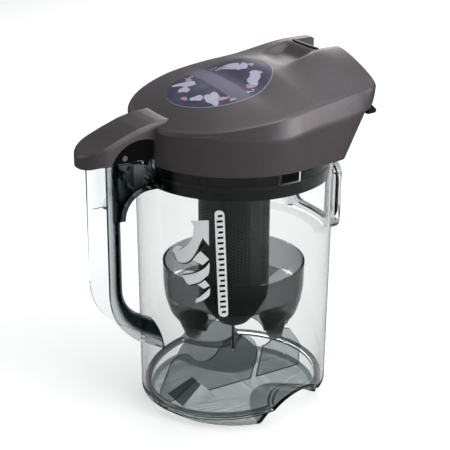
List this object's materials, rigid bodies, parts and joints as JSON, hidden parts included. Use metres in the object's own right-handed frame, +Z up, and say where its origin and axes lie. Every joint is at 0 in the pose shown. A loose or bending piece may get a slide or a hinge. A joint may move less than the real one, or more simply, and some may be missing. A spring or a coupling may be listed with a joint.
{
  "type": "vacuum cleaner dust bin",
  "caption": "Clear dust bin of a bagless canister vacuum cleaner, with a channel handle, a latched metallic lid and a twist-off cyclone filter inside.",
  "frame": {"origin": "on the bin's axis, on the flat underside that stands on the table", "axes": "+Z up along the bin's axis, -Y towards the handle and the lid's thumb tongue, +Y towards the inlet, +X to the right seen from behind the handle"},
  "size_m": [0.16, 0.213, 0.2753],
  "materials": {
    "clear_plastic": "clear moulded plastic, very slightly grey-green",
    "smoke_plastic": "clear smoke-grey moulded plastic",
    "smoke_cup": "dark translucent moulded plastic",
    "lid_paint": "satin metallic paint on plastic, mauve-brown grey",
    "label_print": "printed round label under a clear gloss film",
    "silver_print": "silver print on the bin wall",
    "black_plastic": "fine satin texture",
    "dark_plastic": "dark smoke moulded plastic",
    "black_rubber": "soft seal",
    "filter_foam": "open filter foam",
    "steel": "plain turned steel"
  },
  "bodies": {
    "bin": {"bin_shell": "clear_plastic", "bin_handle": "smoke_plastic", "handle_foot": "smoke_plastic", "handle_pins": "steel", "catch_block": "dark_plastic", "base_fin_front": "smoke_plastic", "base_fin_rear": "smoke_plastic", "floor_pocket": "smoke_plastic", "inlet_frame": "clear_plastic", "inlet_seal": "black_rubber", "scroll_ledge": "clear_plastic", "catch_frames": "clear_plastic", "airflow_decal": "silver_print", "gauge_decal": "silver_print"},
    "lid": {"lid_cover": "lid_paint", "lid_label": "label_print", "lid_plate": "black_plastic", "exhaust_filter": "filter_foam", "outlet_grille": "black_plastic", "rear_tab": "black_plastic", "latch_cheeks": "black_plastic", "lever_pin": "steel", "lever_spring": "steel", "separator_ring": "black_plastic", "ring_seal": "black_rubber", "side_lugs": "black_plastic"},
    "lever": {"release_lever": "black_plastic"},
    "separator": {"filter_grille": "black_plastic", "inner_filter": "filter_foam", "separator_skirt": "smoke_cup", "skirt_cones": "smoke_cup", "lower_dome": "black_plastic", "guide_pin": "steel"}
  },
  "joints": [
    {"name": "lid_lift", "type": "slide", "parent": "bin", "child": "lid", "axis": [0, 0, 1], "range_m": [0, 0.18]},
    {"name": "lever_press", "type": "hinge", "parent": "lid", "child": "lever", "pos_m": [0, -0.1015, 0.2174], "axis": [1, 0, 0], "range_deg": [-8, 0], "stiffness_Nm_per_rad": 0.3, "springref_deg": 2.86, "deforming": ["lever_spring"]},
    {"name": "separator_twist", "type": "hinge", "parent": "lid", "child": "separator", "pos_m": [0, 0, 0.2], "axis": [0, 0, 1], "range_deg": [0, 30]}
  ]
}
